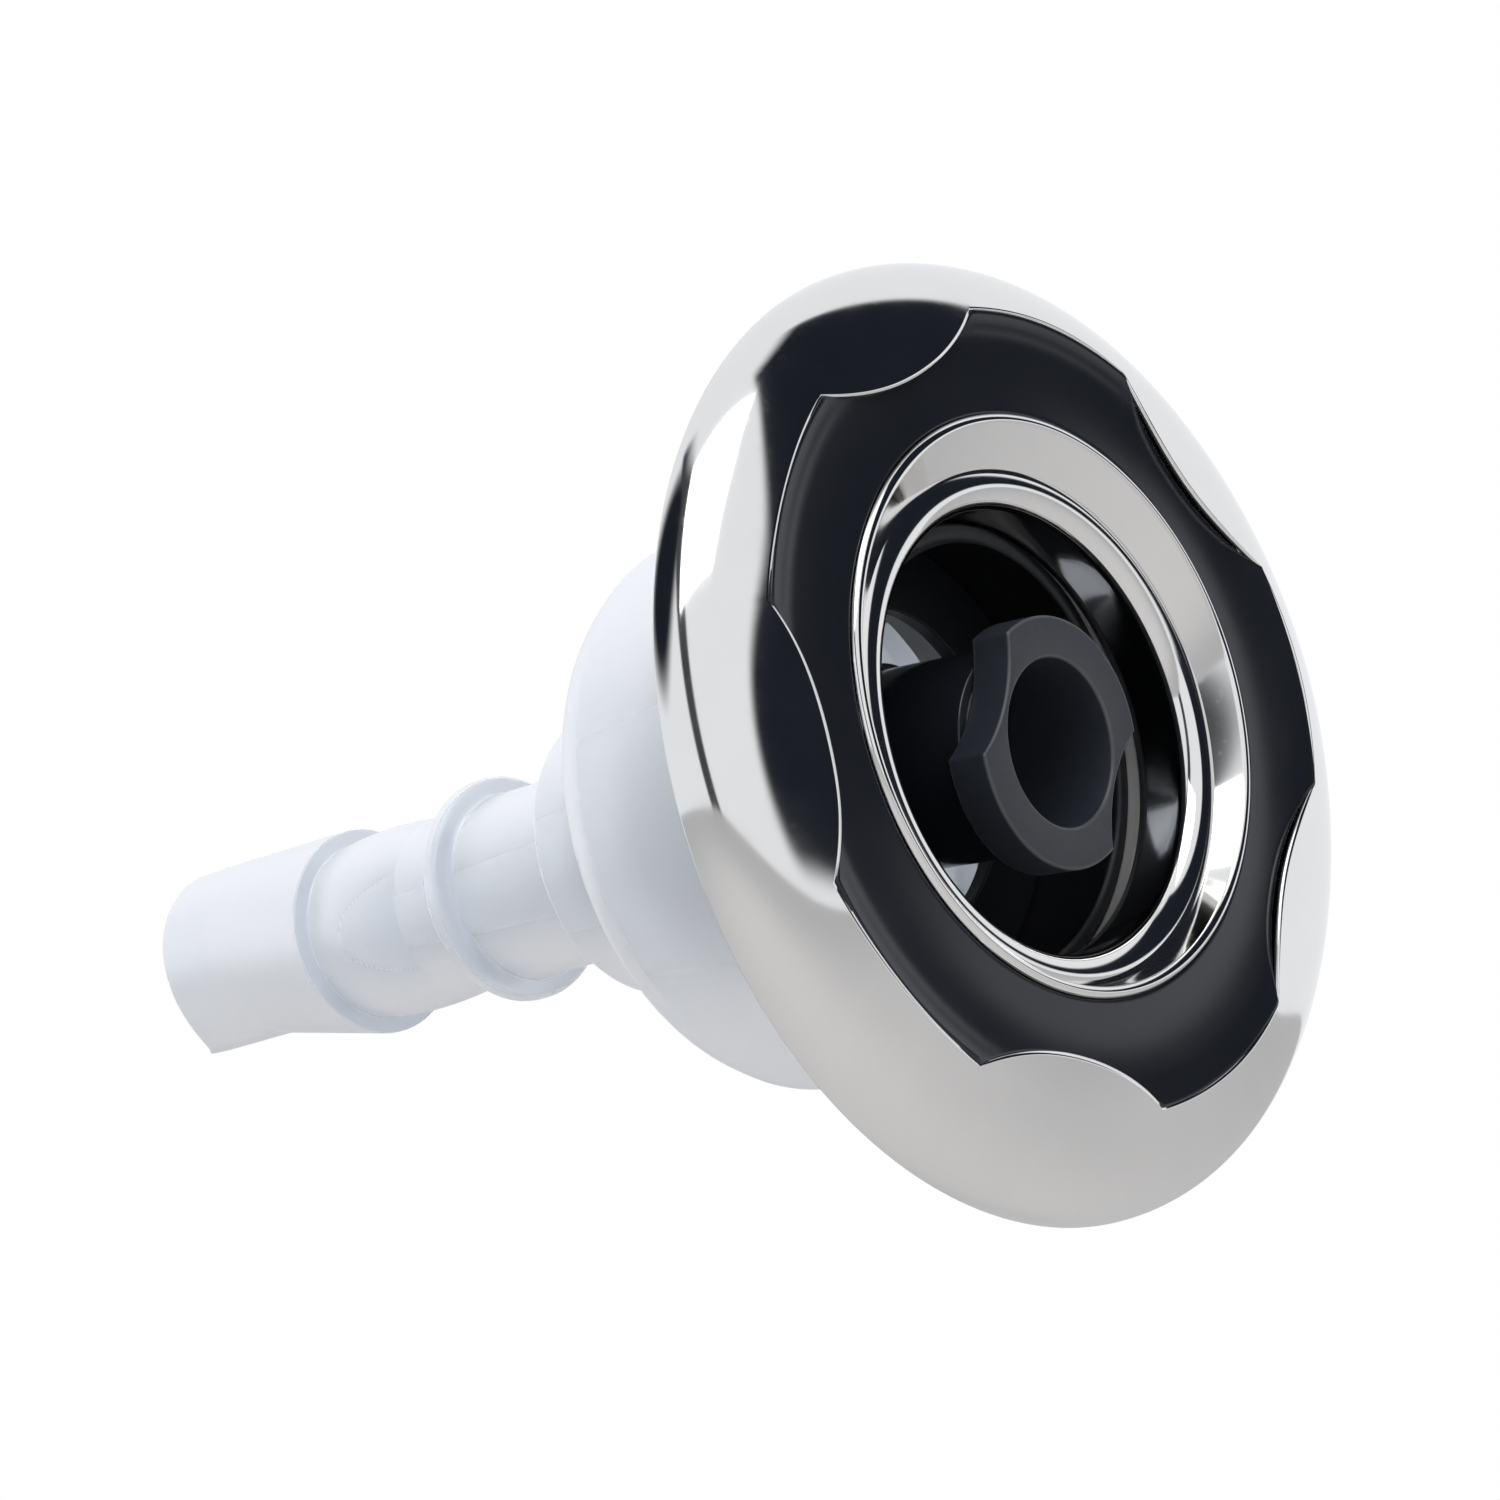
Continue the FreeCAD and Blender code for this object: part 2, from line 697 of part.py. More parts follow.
def ease_edges(body, base, depth):
    """Chamfer every edge that lies in the plane at a depth."""
    flat = [f"Edge{index}" for index, edge in enumerate(base.Shape.Edges, start=1)
            if abs(edge.BoundBox.YMin - depth) < TOUCH and abs(edge.BoundBox.YMax - depth) < TOUCH]
    chamfer = body.newObject("PartDesign::Chamfer", "eased_edges")
    chamfer.Base = (base, flat)
    chamfer.setExpression("Size", d.grip_edge.text)
    body.Tip = chamfer
    doc.recompute()


def build():
    """Every piece of the jet, in the order in which it is put together."""
    return [
        stored("escutcheon", escutcheon()),
        stored("face_plate", face_plate()),
        stored("mouth_trim", mouth_trim()),
        ball_seat("keeper_ring", keeper_front, d.keeper_length, d.fit_gap),
        eyeball(),
        nozzle(),
        ball_seat("seat_ring", seat_front, d.seat_length, d.seat_gap),
        bowl(),
        barrel(),
    ]


def check(pieces):
    """Stop if any object failed or any piece is not one whole solid."""
    for item in doc.Objects:
        if "Invalid" in item.State or "Error" in item.State:
            sys.exit(f"{item.Name} failed: {item.State}")
    for piece in pieces:
        shape = piece.Shape
        if shape.isNull() or not shape.isValid() or len(shape.Solids) != 1:
            sys.exit(f"{piece.Label} is not one valid solid")


pieces = build()
doc.recompute()
check(pieces)
os.makedirs("parts", exist_ok=True)
for piece in pieces:
    piece.Shape.exportStep(f"parts/{piece.Label}.step")
    print(f"{piece.Label}: {piece.Shape.Volume:.0f} mm3, {len(piece.Shape.Faces)} faces")
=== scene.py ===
"""Looks of the hot tub jet: polished steel face, black moulding, tilting nozzle and milky barrel."""
import math

import bpy
import numpy as np
from mathutils import Matrix, Vector


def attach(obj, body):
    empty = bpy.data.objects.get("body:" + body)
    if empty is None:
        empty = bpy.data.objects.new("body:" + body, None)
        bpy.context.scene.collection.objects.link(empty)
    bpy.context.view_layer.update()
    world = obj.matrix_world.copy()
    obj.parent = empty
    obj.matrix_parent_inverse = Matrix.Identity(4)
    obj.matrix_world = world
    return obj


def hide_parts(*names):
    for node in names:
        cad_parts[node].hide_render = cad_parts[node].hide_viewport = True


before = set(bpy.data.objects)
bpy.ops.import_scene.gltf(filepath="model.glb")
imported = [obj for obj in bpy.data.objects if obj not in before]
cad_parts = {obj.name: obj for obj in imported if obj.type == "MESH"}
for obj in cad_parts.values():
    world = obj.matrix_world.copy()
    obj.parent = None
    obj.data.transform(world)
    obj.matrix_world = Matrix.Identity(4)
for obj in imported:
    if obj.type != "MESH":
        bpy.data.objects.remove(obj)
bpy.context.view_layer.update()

# Sizes in millimetres: radius from the jet's axis, height in front of the rim, depth behind it
MM = 0.001
RIM_RADIUS = 63.5
LOBES = 5
LOBE_TURN = 41.4
WINDOW_RADIUS, WINDOW_LIFT = 52.6, 2.0
SCALLOP_RADIUS = 40.5
SCALLOP_REACH = 45.9
OPENING_RADIUS = 37.7
OPENING_LIFT = 2.4
BEAD_RADIUS, BEAD_SECTION, BEAD_HEIGHT = 32.3, 2.4, 3.7
THROAT_RADIUS, THROAT_DEPTH = 30.1, 3.0
BALL_DEPTH, BALL_RADIUS, BALL_WALL = 20.0, 34.0, 2.0
BALL_TILT, TILT_TURN = 5.6, 30.4
HUB_RADIUS, HUB_WALL = 13.6, 1.4
GRIP_RADIUS, GRIP_FRONT, GRIP_THICKNESS, GRIP_TURN = 16.5, 27.3, 6.0, -26.0
NOTCH_RADIUS, NOTCH_FLOOR = 20.0, 12.0
BORE_RADIUS = 11.0
WINDOW_TURN, WINDOW_SPAN = 72.0, 92.0
WINDOW_INNER, WINDOW_OUTER = 14.6, 22.0
BOWL_RADIUS, BOWL_WALL, BOWL_BACK, BOWL_CORNER = 39.0, 2.0, 47.3, 7.0
SLEEVE_RADIUS, SLEEVE_BACK = 43.3, 5.9
NECK_RADIUS, NECK_BACK = 20.7, 69.3
PLUG_RADIUS, GUIDE_RADIUS, FLANGE_RADIUS, TUBE_RADIUS = 18.2, 13.6, 16.5, 13.2
SWELL, SWELL_FRONT, SWELL_TOP, SHOULDER_DEPTH = 0.7, 107.7, 118.7, 127.4
SHOULDER_RADIUS, REDUCER_FRONT, TAIL_FRONT, TAIL_BACK = 15.6, 128.0, 151.4, 161.9
TAIL_RADIUS, TAIL_LIFT, TUBE_WALL = 13.65, 2.4, 2.0


# Meshes from grids of points

def surface(name, grid, body, close_section=True, flip=False):
    """A smooth mesh from points [section, around, xyz] in millimetres, closed round the axis."""
    rows, columns = grid.shape[:2]
    row = np.arange(rows if close_section else rows - 1)[:, None]
    column = np.arange(columns)[None, :]
    after_row, after_column = (row + 1) % rows, (column + 1) % columns
    corners = [row * columns + column, after_row * columns + column,
               after_row * columns + after_column, row * columns + after_column]
    quads = np.stack([np.broadcast_to(c, (row.size, columns)) for c in corners], -1).reshape(-1, 4)
    if flip:
        quads = quads[:, ::-1]
    mesh = bpy.data.meshes.new(name)
    mesh.from_pydata((grid.reshape(-1, 3) * MM).tolist(), [], quads.tolist())
    mesh.polygons.foreach_set("use_smooth", np.ones(len(mesh.polygons), bool))
    mesh.update()
    piece = bpy.data.objects.new(name, mesh)
    bpy.context.collection.objects.link(piece)
    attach(piece, body)
    return piece


def turned_points(radius, height, angle):
    """Points at radii and heights in front of the rim, turned about the axis from +X toward +Z."""
    return np.stack(np.broadcast_arrays(radius * np.cos(angle), -height, radius * np.sin(angle)), -1)


def soften(corners, radius, steps=6):
    """A closed profile whose corners are rounded by arcs, with a point either side to hold the flats."""
    corners = np.array(corners, float)
    before, after = np.roll(corners, 1, 0), np.roll(corners, -1, 0)
    radius = np.broadcast_to(np.asarray(radius, float), len(corners))[:, None]
    back, forth = before - corners, after - corners
    back_length = np.linalg.norm(back, axis=1, keepdims=True)
    forth_length = np.linalg.norm(forth, axis=1, keepdims=True)
    back, forth = back / back_length, forth / forth_length
    cut = np.minimum(radius, np.minimum(back_length, forth_length) * 0.42)
    share = np.linspace(0, 1, steps)[None, :, None]
    weight = np.sqrt(np.clip(0.5 - 0.5 * np.sum(back * forth, 1), 0.02, 1))[:, None, None]
    parts = (1 - share) ** 2, 2 * weight * share * (1 - share), share ** 2
    arc = (parts[0] * (corners + back * cut)[:, None] + parts[1] * corners[:, None]
           + parts[2] * (corners + forth * cut)[:, None]) / sum(parts)
    hold = np.minimum(cut * 1.2, cut + 0.3)
    first, last = (corners + back * hold)[:, None], (corners + forth * hold)[:, None]
    return np.concatenate([first, arc, last], 1).reshape(-1, 2)


def divide(profile, longest=2.5):
    """The same closed profile with extra points along every run longer than a limit."""
    points = []
    for start, end in zip(profile, np.roll(profile, -1, 0)):
        pieces = max(int(np.linalg.norm(end - start) / longest), 1)
        points.append(start + (end - start) * np.linspace(0, 1, pieces, endpoint=False)[:, None])
    return np.concatenate(points)


def turned(name, corners, softness, body, columns=160, place=None):
    """A closed profile of (radius, depth) corners, softened and turned about the axis."""
    profile = divide(soften(corners, softness))
    angle = np.linspace(0, 2 * np.pi, columns, endpoint=False)[None, :]
    grid = turned_points(profile[:, :1], -profile[:, 1:], angle)
    if place is not None:
        grid = place(grid)
    outline = np.roll(profile, -1, 0)
    area = np.sum(profile[:, 0] * outline[:, 1] - outline[:, 0] * profile[:, 1])
    return surface(name, grid, body, flip=area > 0)


def thicken(radius, height, wall):
    """A closed section from an open one: the curve, then the same curve moved inward by the wall."""
    run = np.stack([np.gradient(radius, axis=0), np.gradient(height, axis=0)], -1)
    run /= np.linalg.norm(run, axis=-1, keepdims=True)
    inner_radius = radius - run[..., 1] * wall
    inner_height = height + run[..., 0] * wall
    return np.concatenate([radius, inner_radius[::-1]]), np.concatenate([height, inner_height[::-1]])


def swivel(grid):
    """Tilt points with the ball, about a slanting hinge through its centre."""
    turn = math.radians(TILT_TURN)
    hinge = Vector((math.cos(turn), 0, math.sin(turn)))
    tilt = np.array(Matrix.Rotation(math.radians(BALL_TILT), 3, hinge))
    centre = np.array([0, BALL_DEPTH, 0])
    return (grid - centre) @ tilt.T + centre


def bezier(points, share):
    """A cubic curve through control values that may change round the axis."""
    start, second, third, end = points
    rest = 1 - share
    return (rest ** 3 * start + 3 * share * rest ** 2 * second + 3 * share ** 2 * rest * third
            + share ** 3 * end)


# The face's five-lobed outline

def lobe_angles(scallop_steps=40, round_steps=32):
    """Angles round the face, with one exactly on each sharp corner, and the angle from the nearest scallop."""
    reach = SCALLOP_REACH + SCALLOP_RADIUS
    corner = math.acos((WINDOW_RADIUS ** 2 + reach ** 2 - SCALLOP_RADIUS ** 2) / (2 * WINDOW_RADIUS * reach))
    pitch = 2 * math.pi / LOBES
    bite = np.linspace(-corner, corner, scallop_steps, endpoint=False)
    rest = np.linspace(corner, pitch - corner, round_steps, endpoint=False)
    sector = np.concatenate([bite, rest])
    turn = math.radians(LOBE_TURN) + pitch * np.arange(LOBES)[:, None]
    away = np.broadcast_to(sector, (LOBES, sector.size)).ravel()
    return (turn + sector).ravel(), away, corner


def window_edge(away, corner, gap=0.0):
    """The outline's radius: an arc about the axis, bitten by arcs centred outside it."""
    reach = SCALLOP_REACH + SCALLOP_RADIUS
    bite = reach * np.cos(away) - np.sqrt(np.maximum(SCALLOP_RADIUS ** 2 - (reach * np.sin(away)) ** 2, 0))
    return np.where(np.abs(away) <= corner, bite, WINDOW_RADIUS) - gap


def opening_edge(angle, lift=OPENING_LIFT):
    """The opening's radius, seen from a point below its centre by a lift."""
    return lift * np.sin(angle) + np.sqrt(OPENING_RADIUS ** 2 - (lift * np.cos(angle)) ** 2)


def steel_face():
    """A smooth skin cut by the lobed window: it flares back from the middle to the rim.

    Each radial section is one cubic curve whose inner control points move with the cosine of five times
    the angle, and it is followed from the rim only as far as the window's edge.
    """
    angle, away, corner = lobe_angles()
    dome = 0.5 + 0.5 * np.cos(LOBES * away)
    still = np.zeros_like(dome)
    rim = RIM_RADIUS - 0.03
    radii = rim + still, rim - 0.2 + still, 57.5 - 2.7 * dome, 44.0 + still
    heights = still, 5.6 + 0.6 * dome, 8.3 + 0.4 * dome, 12.6 - 2.2 * dome
    fine = np.linspace(0, 1, 500)
    runs = bezier(radii, fine[:, None])
    edge = window_edge(away, corner)
    last = np.array([np.interp(-reach, -runs[:, i], fine) for i, reach in enumerate(edge)])
    share = np.linspace(0, 1, 56)[:, None] ** 1.15 * last
    radius, height = thicken(bezier(radii, share), bezier(heights, share), 0.7)
    grid = turned_points(radius, height, angle[None, :])
    rise = np.clip((RIM_RADIUS - radius) / (RIM_RADIUS - WINDOW_RADIUS), 0, 1)
    grid[..., 2] += WINDOW_LIFT * rise ** 2 * (3 - 2 * rise)
    piece = surface("steel_face", grid, "housing", flip=True)
    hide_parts("escutcheon")
    return piece


def black_front():
    """The black moulding's front, from the opening's rounded lip to the steel's edge.

    Its height dips by half a sine between radii 38 and 50, then rises with the square of the radius past 48.
    """
    angle, away, corner = lobe_angles()
    inner, outer = opening_edge(angle, OPENING_LIFT - WINDOW_LIFT) + 0.25, window_edge(away, corner, 0.04)
    share = np.linspace(0, 1, 30)[:, None]
    radius = inner + 0.8 + (outer - 0.25 - inner - 0.8) * share
    dip = 0.25 * np.sin(np.pi * np.clip((radius - 38) / 12, 0, 1))
    dish = 9.0 - dip + 0.6 * np.clip((radius - 48) / 5, 0, 1) ** 2
    lip = np.linspace(np.pi / 2, 0, 7)[:-1, None]
    lip_radius = inner + 0.8 - 0.8 * np.sin(lip)
    lip_height = dish[:1] - 0.8 + 0.8 * np.cos(lip)
    drop = np.linspace(0, np.pi / 2, 6)[1:, None]
    drop_radius = outer - 0.25 + 0.25 * np.sin(drop)
    drop_height = dish[-1:] - 0.25 + 0.25 * np.cos(drop)
    one = np.ones_like(angle)[None, :]
    radius = np.concatenate([inner * one, lip_radius * one, radius, drop_radius, outer * one])
    height = np.concatenate([5.6 * one, lip_height, dish, drop_height, 7.6 * one])
    grid = turned_points(radius, height, angle[None, :])
    grid[..., 2] += WINDOW_LIFT
    return surface("black_front", grid, "housing")


def black_back():
    """The moulding's hidden side: the carrier under the skin and the sleeve that takes the bowl."""
    bore = BOWL_RADIUS + 0.1
    piece = turned("black_back", [
        (bore, SLEEVE_BACK), (bore, -1.0), (40.5, -8.2), (45.0, -7.6), (50.0, -7.0), (54.5, -6.0),
        (58.0, -4.4), (60.6, -2.4), (61.9, 0.0), (59.9, 0.0), (59.2, -1.2), (57.0, -3.0), (54.0, -4.4),
        (50.0, -5.0), (45.8, -4.1), (SLEEVE_RADIUS, -4.1), (SLEEVE_RADIUS, SLEEVE_BACK)],
        0.4, "housing")
    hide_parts("face_plate")
    return piece


def mouth_ring():
    """A cone from the off-centre opening down to a round bead, over the bead's crest and into the throat."""
    angle = np.linspace(0, 2 * np.pi, 288, endpoint=False)
    one = np.ones_like(angle)[None, :]
    top_radius, foot_turn = opening_edge(angle) + 0.05, math.radians(48)
    foot_radius = BEAD_RADIUS + BEAD_SECTION * math.sin(foot_turn)
    foot_height = BEAD_HEIGHT + BEAD_SECTION * math.cos(foot_turn)
    lip = np.linspace(0, np.pi / 2, 6)[:-1, None]
    lip_radius = top_radius - 0.35 + 0.35 * np.cos(lip)
    lip_height = 8.85 + 0.35 * np.sin(lip) * one
    share = np.linspace(0, 1, 26)[:, None]
    cone_radius = top_radius - 0.35 + (foot_radius - top_radius + 0.35) * share
    cone_height = 9.2 + (foot_height - 9.2) * share * one
    roll = np.linspace(foot_turn, -np.pi / 2, 30)[1:, None]
    roll_radius = BEAD_RADIUS + BEAD_SECTION * np.sin(roll) * one
    roll_height = BEAD_HEIGHT + BEAD_SECTION * np.cos(roll) * one
    fall = np.linspace(0, 1, 6)[1:, None]
    throat_radius = BEAD_RADIUS - BEAD_SECTION + (THROAT_RADIUS - BEAD_RADIUS + BEAD_SECTION) * fall * one
    throat_height = BEAD_HEIGHT - (BEAD_HEIGHT + THROAT_DEPTH) * fall * one
    radius = np.concatenate([lip_radius, cone_radius, roll_radius, throat_radius])
    height = np.concatenate([lip_height, cone_height, roll_height, throat_height])
    grid = turned_points(*thicken(radius, height, -0.6), angle[None, :])
    piece = surface("mouth_ring", grid, "housing", flip=True)
    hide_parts("mouth_trim")
    return piece


# The swivelling ball

def ball_cup():
    """The cup's section follows two spheres about one centre, from the mouth past the widest place."""
    front, back = -15.5, 8.0
    outer = np.linspace(front, back, 24)
    inner = np.linspace(back, front, 24)
    shape = np.concatenate([
        np.stack([np.sqrt(BALL_RADIUS ** 2 - outer ** 2), outer], 1),
        np.stack([np.sqrt((BALL_RADIUS - BALL_WALL) ** 2 - inner ** 2), inner], 1)])
    angle = np.linspace(0, 2 * np.pi, 192, endpoint=False)[None, :]
    grid = swivel(turned_points(shape[:, :1], -(shape[:, 1:] + BALL_DEPTH), angle))
    return surface("ball_cup", grid, "ball", flip=False)


def ring_sector(name, inner, outer, first, last, front, back, softness=0.4):
    """A block bounded by two radii, two angles in degrees and two depths, from softened closed sections."""
    section = soften([(inner, front), (inner, back), (outer, back), (outer, front)], softness)
    angle = np.radians(np.linspace(first, last, 24))[:, None]
    shrink = np.array([0.97] + [1.0] * 22 + [0.97])[:, None]
    middle = section.mean(0)
    loop = middle + (section - middle)[None] * shrink[..., None]
    grid = np.stack([loop[..., 0] * np.cos(angle), loop[..., 1], loop[..., 0] * np.sin(angle)], -1)
    rows, columns = grid.shape[:2]
    index = np.arange(rows * columns).reshape(rows, columns)
    quads = np.stack([index[:-1], index[1:], np.roll(index, -1, 1)[1:], np.roll(index, -1, 1)[:-1]], -1)
    mesh = bpy.data.meshes.new(name)
    faces = quads.reshape(-1, 4).tolist() + [index[0].tolist(), index[-1][::-1].tolist()]
    mesh.from_pydata((swivel(grid).reshape(-1, 3) * MM).tolist(), [], faces)
    mesh.polygons.foreach_set("use_smooth", [len(f) == 4 for f in faces])
    mesh.update()
    piece = bpy.data.objects.new(name, mesh)
    bpy.context.collection.objects.link(piece)
    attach(piece, "ball")
    return piece


def ball_web():
    """The web behind the mouth: an outer ring, the hub's collar and three ribs between the windows."""
    front, back = BALL_DEPTH, BALL_DEPTH + 2.4
    pieces = [
        turned("web_ring", [(WINDOW_OUTER, front), (WINDOW_OUTER, back), (31.8, back), (31.8, front)], 0.3,
               "ball", place=swivel),
        turned("web_collar", [(HUB_RADIUS - 0.5, front), (HUB_RADIUS - 0.5, back), (WINDOW_INNER, back),
                              (WINDOW_INNER, front)], 0.3, "ball", place=swivel)]
    for rib in range(3):
        middle = WINDOW_TURN + 60 + rib * 120
        half = (120 - WINDOW_SPAN) / 2
        pieces.append(ring_sector(f"web_rib_{rib + 1}", WINDOW_INNER - 0.6, WINDOW_OUTER + 0.6,
                                  middle - half, middle + half, front + 0.02, back - 0.02))
    return pieces


def hub_tube():
    """The tube that carries the nozzle."""
    front = BALL_DEPTH - GRIP_FRONT + GRIP_THICKNESS
    bore = HUB_RADIUS - HUB_WALL
    return turned("hub_tube", [(bore, front), (bore, 29.0), (HUB_RADIUS, 29.0), (HUB_RADIUS, front)], 0.3,
                  "ball", place=swivel)


def grip_edge(away, corner):
    """The grip's radius: a circle bitten by two finger notches whose arcs are centred outside it."""
    reach = NOTCH_FLOOR + NOTCH_RADIUS
    bite = reach * np.cos(away) - np.sqrt(np.maximum(NOTCH_RADIUS ** 2 - (reach * np.sin(away)) ** 2, 0))
    return np.where(np.abs(away) <= corner, bite, GRIP_RADIUS)


def nozzle_insert():
    """A closed section from the bore's mouth over the grip to the sleeve, its rim following the notches.

    The vertex attribute that pales the grey is 1 along the grip's front edge and the bore's mouth.
    """
    reach = NOTCH_FLOOR + NOTCH_RADIUS
    corner = math.acos((GRIP_RADIUS ** 2 + reach ** 2 - NOTCH_RADIUS ** 2) / (2 * GRIP_RADIUS * reach))
    bite = np.linspace(-corner, corner, 64, endpoint=False)
    rest = np.linspace(corner, np.pi - corner, 96, endpoint=False)
    sector = np.concatenate([bite, rest])
    turn = math.radians(GRIP_TURN) + np.pi * np.arange(2)[:, None]
    angle = (turn + sector).ravel()
    rim = grip_edge(np.broadcast_to(sector, (2, sector.size)).ravel(), corner)
    front = BALL_DEPTH - GRIP_FRONT
    back = front + GRIP_THICKNESS
    one = np.ones_like(rim)
    bevel = 0.35
    steps = [
        (9.8 * one, front + 26.0), (10.0 * one, front + 20.0), (10.3 * one, front + 14.0),
        (10.6 * one, front + 8.0), (10.85 * one, front + 3.0), (10.98 * one, front + 0.5),
        (BORE_RADIUS + 0.05 * one, front + 0.2), (BORE_RADIUS + 0.3 * one, front),
        (BORE_RADIUS + 0.45 * one, front), (rim - bevel * 1.4, front * one[0]),
        (rim - bevel, front), (rim - bevel * 0.3, front + bevel * 0.3), (rim, front + bevel),
        (rim, front + bevel * 1.5), (rim, back - bevel * 1.5), (rim, back - bevel),
        (rim - bevel * 0.3, back - bevel * 0.3), (rim - bevel, back),
        (np.maximum(rim - bevel * 2, 11.9), back), (12.0 * one, back + 0.1), (12.0 * one, front + 26.0)]
    radius = np.stack([np.broadcast_to(step[0], rim.shape) for step in steps])
    depth = np.stack([step[1] * one for step in steps])
    # How much paler the grey is painted at each row of the section: the bore's mouth and the grip's front and
    # back edges.
    paleness = np.array([0, 0, 0, 0, 0, 0, 0.8, 1, 0.2, 0, 0.6, 1, 0.6, 0, 0, 0.3, 0.6, 0.3, 0, 0, 0])
    grid = swivel(turned_points(radius, -depth, angle[None, :]))
    piece = surface("nozzle_insert", grid, "ball", flip=False)
    edge_paleness = piece.data.attributes.new("edge_wear", "FLOAT", "POINT")
    edge_paleness.data.foreach_set("value", np.repeat(paleness, angle.size))
    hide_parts("nozzle")
    return piece


# The milky body

def milky_bowl():
    """The bowl and its neck, turned from one profile."""
    inside, shelf = BOWL_RADIUS - BOWL_WALL, 34.3
    piece = turned("milky_bowl", [
        (inside, 0.6), (BOWL_RADIUS, 0.6), (BOWL_RADIUS, BOWL_BACK), (NECK_RADIUS, BOWL_BACK),
        (NECK_RADIUS, NECK_BACK), (NECK_RADIUS - 2.4, NECK_BACK), (NECK_RADIUS - 2.4, BOWL_BACK),
        (15.0, BOWL_BACK), (15.0, BOWL_BACK - BOWL_WALL), (inside - 2.6, BOWL_BACK - BOWL_WALL),
        (inside - 2.6, shelf), (inside, shelf)],
        [0.3, 0.3, BOWL_CORNER, 0.8, 0.7, 0.3, 0.3, 0.3, 0.3, 4.4, 0.4, 0.4],
        "housing", columns=256)
    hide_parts("bowl")
    return piece


def barrel_swell(depth):
    """How far the barrel swells before its shoulder: parabolas that rise from and fall to the tube."""
    rise = np.clip((SWELL_TOP - depth) / (SWELL_TOP - SWELL_FRONT), 0, 1)
    fall = np.clip((depth - SWELL_TOP) / (SHOULDER_DEPTH - SWELL_TOP), 0, 1)
    return SWELL * (1 - np.maximum(rise, fall) ** 2)


def tongue(across, above):
    """How far the tail's end reaches beyond its square edge: two hollow arcs that meet in a point below."""
    reach = 21.57 - np.sqrt(22.0 ** 2 - (np.minimum(np.abs(across), TAIL_RADIUS) - 17.91) ** 2)
    return np.where(above < 0, np.maximum(reach, 0), 0.0)


def milky_barrel():
    """The barrel from its plug to its tail.

    A turned profile whose circles rise off the axis behind the shoulder, and whose end is drawn out into
    a tongue.
    """
    run = np.linspace(SWELL_FRONT, SHOULDER_DEPTH, 26)[:-1]
    swell = list(zip(TUBE_RADIUS + barrel_swell(run), run))
    bore = TUBE_RADIUS - TUBE_WALL
    corners = [
        (PLUG_RADIUS, 49.0), (PLUG_RADIUS, NECK_BACK), (GUIDE_RADIUS, NECK_BACK), (GUIDE_RADIUS, 94.7),
        (FLANGE_RADIUS, 94.7), (FLANGE_RADIUS, 97.7), (TUBE_RADIUS, 97.7), *swell,
        (TUBE_RADIUS, SHOULDER_DEPTH), (SHOULDER_RADIUS, SHOULDER_DEPTH),
        (SHOULDER_RADIUS, REDUCER_FRONT), (TAIL_RADIUS, TAIL_FRONT), (TAIL_RADIUS, TAIL_BACK),
        (TAIL_RADIUS - TUBE_WALL, TAIL_BACK), (TAIL_RADIUS - TUBE_WALL, TAIL_FRONT),
        (bore, REDUCER_FRONT), (bore, NECK_BACK), (8.4, 53.0), (10.4, 53.0),
        (GUIDE_RADIUS - 1.0, 67.3), (16.2, 67.3), (16.2, 49.0)]
    before_swell, after_swell = [0.3, 0.3, 0.6, 0.7, 0.9, 0.9, 0.7], [0.3, 0.25, 0.25, 1.0, 0.35]
    softness = before_swell + [0.1] * len(swell) + after_swell + [0.35] * 9
    profile = divide(soften(corners, softness))
    angle = np.linspace(0, 2 * np.pi, 192, endpoint=False)[None, :]
    grid = turned_points(profile[:, :1], -profile[:, 1:], angle)
    grid[..., 2] += TAIL_LIFT * np.clip((profile[:, 1:] - REDUCER_FRONT) / (TAIL_FRONT - REDUCER_FRONT), 0, 1)
    near_end = np.clip((grid[..., 1] - TAIL_FRONT) / (TAIL_BACK - TAIL_FRONT), 0, 1)
    outward = TAIL_RADIUS * np.cos(angle)
    grid[..., 1] += tongue(outward, TAIL_LIFT + TAIL_RADIUS * np.sin(angle)) * near_end
    piece = surface("milky_barrel", grid, "housing", flip=True)
    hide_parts("barrel")
    return piece


# Materials

class Socket:
    """A shader value that takes part in Python sums."""

    def __init__(self, tree, link):
        self.tree, self.link = tree, link

    def math(self, operation, *others, swap=False):
        values = [self, *others]
        if swap:
            values.reverse()
        return node(self.tree, "ShaderNodeMath", {"operation": operation}, dict(enumerate(values)))

    def __add__(self, other):
        return self.math("ADD", other)

    def __sub__(self, other):
        return self.math("SUBTRACT", other)

    def __rsub__(self, other):
        return self.math("SUBTRACT", other, swap=True)

    def __mul__(self, other):
        return self.math("MULTIPLY", other)

    def __gt__(self, other):
        return self.math("GREATER_THAN", other)

    __radd__ = __add__


def node(tree, kind, settings=None, inputs=None, output=0):
    """A shader node with its settings made first, then its inputs, as a Socket of one output."""
    made = tree.nodes.new(kind)
    for name, value in (settings or {}).items():
        if name == "stops":
            ramp = made.color_ramp
            while len(ramp.elements) < len(value):
                ramp.elements.new(0.5)
            for stop, (place, colour) in zip(ramp.elements, value):
                stop.position = place
                stop.color = (*colour, 1)
        else:
            setattr(made, name, value)
    for name, value in (inputs or {}).items():
        if isinstance(value, Socket):
            tree.links.new(value.link, made.inputs[name])
        else:
            made.inputs[name].default_value = value
    return Socket(tree, made.outputs[output])


def new_material(name):
    """An empty material, its tree, its shader and the object's own coordinates."""
    material = bpy.data.materials.new(name)
    material.use_nodes = True
    tree = material.node_tree
    shader = tree.nodes["Principled BSDF"]
    place = node(tree, "ShaderNodeTexCoord", output="Object")
    return material, tree, shader, place


